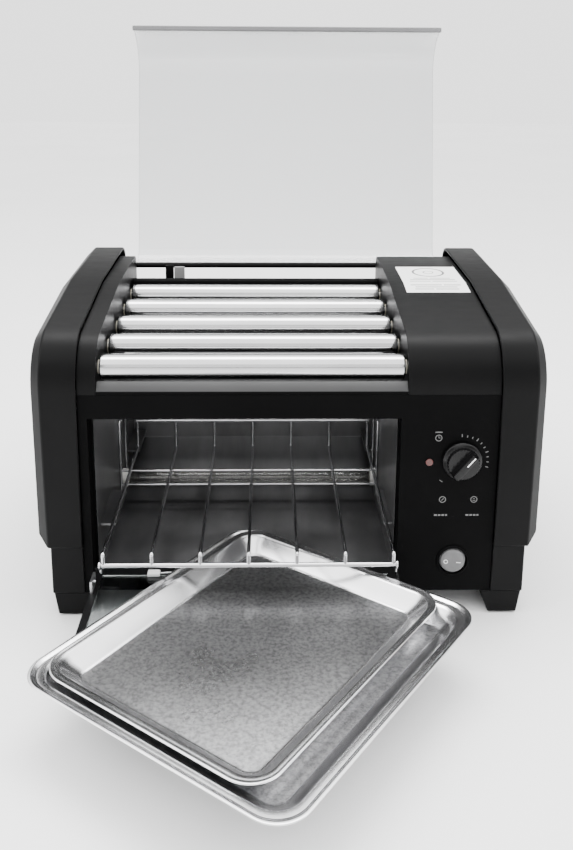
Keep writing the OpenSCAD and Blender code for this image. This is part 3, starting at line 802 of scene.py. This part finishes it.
def make_rocker():
    """Smooth bezel and a domed round rocker with a ring and a bar moulded on its two ends."""
    x, z, pivot_y, sides, face_r = 142, 51, 4, 64, 9.2
    bezel = lathe([(0, 12.1), (0, 14.5), (0.8, 14.4), (1.4, 13.8), (1.8, 12.9), (1.75, 12.3), (0.6, 12.1),
                   (0, 12.1)], from_front(x, 0, z), (0, -1, 0), 72)
    make_piece("switch_ring", *bezel, "body", "panel_black", ("switch_bezel",))
    tilt = Matrix.Rotation(math.radians(-8), 4, "Z")
    place = Matrix.Translation(from_front(x, pivot_y, z)) @ tilt

    def at(u, forward, w):
        """A point in the tilted rocker's own frame, in millimetres from its pivot."""
        return place @ mm(u, forward, w)

    circle = [(math.cos(2 * math.pi * k / sides), math.sin(2 * math.pi * k / sides)) for k in range(sides)]
    rings = [[at(r * c, y, r * s) for c, s in circle]
             for y, r in ((7.9, 8.6), (4, 11.1), (0, 11.85), (-3.5, 11.3), (-5.4, 10.5), (-6.4, 9.9),
                          (-6.9, face_r))]
    for scale in (0.82, 0.6, 0.35, 0.1):
        r = face_r * scale
        rings.append([at(r * c, -7.6 + 0.72 * (1 - abs(r * c) / face_r), r * s) for c, s in circle])
    make_piece("rocker_button", *loft(rings), "rocker", "rocker_grey", ("switch_rocker",), smooth=45)
    outward = (tilt @ Vector((0, -1, 0, 0))).to_3d()
    ring_mark = flat_ring(at(-5.4, -7.2, 0), outward, 1.3, 1.9, 0.35, 28)
    bar = [at(5.4 + u * 1.9, -7.2, w * 0.3) for u, w in ((-1, -1), (1, -1), (1, 1), (-1, 1))]
    bar_mark = loft([bar, [p + outward * mm(0.45) for p in bar]])
    make_piece("rocker_marks", *join([ring_mark, bar_mark]), "rocker", "label")


def make_prints():
    """Dial ticks round the knob and plain marks beside the controls."""
    knob_x, knob_z, ticks = 145.5, 144.5, 10
    marks = []
    for k in range(ticks):
        turn = 92 - 108 * k / (ticks - 1)
        r, length = (21.9, 1.9) if k % 3 else (22.3, 2.7)
        a = math.radians(turn)
        marks.append(flat_bar(knob_x + r * math.cos(a), knob_z + r * math.sin(a), length, 0.8, turn))
    for x, z in ((125.1, 164.7), (130.7, 108.4), (157.6, 108.4)):
        marks.append(flat_ring(from_front(x, -0.01, z), (0, -1, 0), 2.3, 3.0, 0.06, 32))
    marks += [flat_bar(*bar) for bar in (
        (125.0, 169.9, 6.0, 0.9, 0), (125.1, 165.5, 0.6, 1.8, 0), (125.8, 164.7, 1.5, 0.5, 0),
        (130.7, 108.4, 2.6, 0.6, 45), (157.6, 107.6, 2.4, 0.6, 0), (157.6, 109.2, 1.4, 0.6, 0),
        (128.7, 125.5, 3.2, 0.6, -35))]
    for x in (129.7, 156.8):
        for step, length in ((-4.4, 2.6), (-1.2, 2.2), (1.8, 2.2), (4.6, 1.8)):
            marks.append(flat_bar(x + step, 93.9, length, 1.5, 0))
    prints = make_piece("panel_prints", *join(marks), "body", "label")
    prints.data.materials[0] = MATERIALS["faint_print"]


def make_label():
    """The sticker on the sloping housing, with two grey rings and rows of plain bars."""
    refine("blank_label", 0.1)
    low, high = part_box("blank_label")
    gauge, lift, sides, middle_u, row_height, gap = 0.3, 0.04, 40, 30, 1.6, 2
    front = (low.y, low.z + mm(gauge))
    crease = tuple(from_front(0, 139, 264 + gauge).yz)
    rear = (high.y, high.z)

    def on_top(u, v):
        """A point on the sticker: u from its left edge, v from its front edge, in millimetres."""
        y = low.y + mm(v)
        a, b = (front, crease) if y < crease[0] else (crease, rear)
        return Vector((low.x + mm(u), y, a[1] + (b[1] - a[1]) * (y - a[0]) / (b[0] - a[0]) + mm(lift)))

    def circle(r):
        return [on_top(middle_u + r * math.cos(a), 62 + r * math.sin(a))
                for a in (2 * math.pi * k / sides for k in range(sides))]

    parts = []
    for r0, r1 in ((14.0, 16.2), (4.4, 5.4)):
        quads = [(k, (k + 1) % sides, sides + (k + 1) % sides, sides + k) for k in range(sides)]
        parts.append((circle(r0) + circle(r1), quads))
    for v, widths in ((39, (14, 20)), (34, (44,)), (28, (20, 24)), (17, (30, 16)), (12, (40,)),
                      (7, (18, 22))):
        u = middle_u - (sum(widths) + gap * (len(widths) - 1)) / 2
        for w in widths:
            corners = ((u, v), (u + w, v), (u + w, v + row_height), (u, v + row_height))
            parts.append(([on_top(*c) for c in corners], [(0, 1, 2, 3)]))
            u += w + gap
    prints = make_piece("label_print", *join(parts), "body", "label")
    prints.data.materials[0] = MATERIALS["faint_print"]


def dress_nodes():
    """Any CAD node still shown takes its slot's finish."""
    for node, obj in NODES.items():
        obj.data.materials.clear()
        obj.data.materials.append(MATERIALS[SLOT_OF[node]])


MATERIALS.update(make_materials())
make_camera()
make_stage()
dress_nodes()
refine_body()
make_screws()
make_rollers()
make_trays()
make_lid()
make_rack()
make_guards()
make_heaters()
make_door()
make_knob()
make_rocker()
make_prints()
make_label()
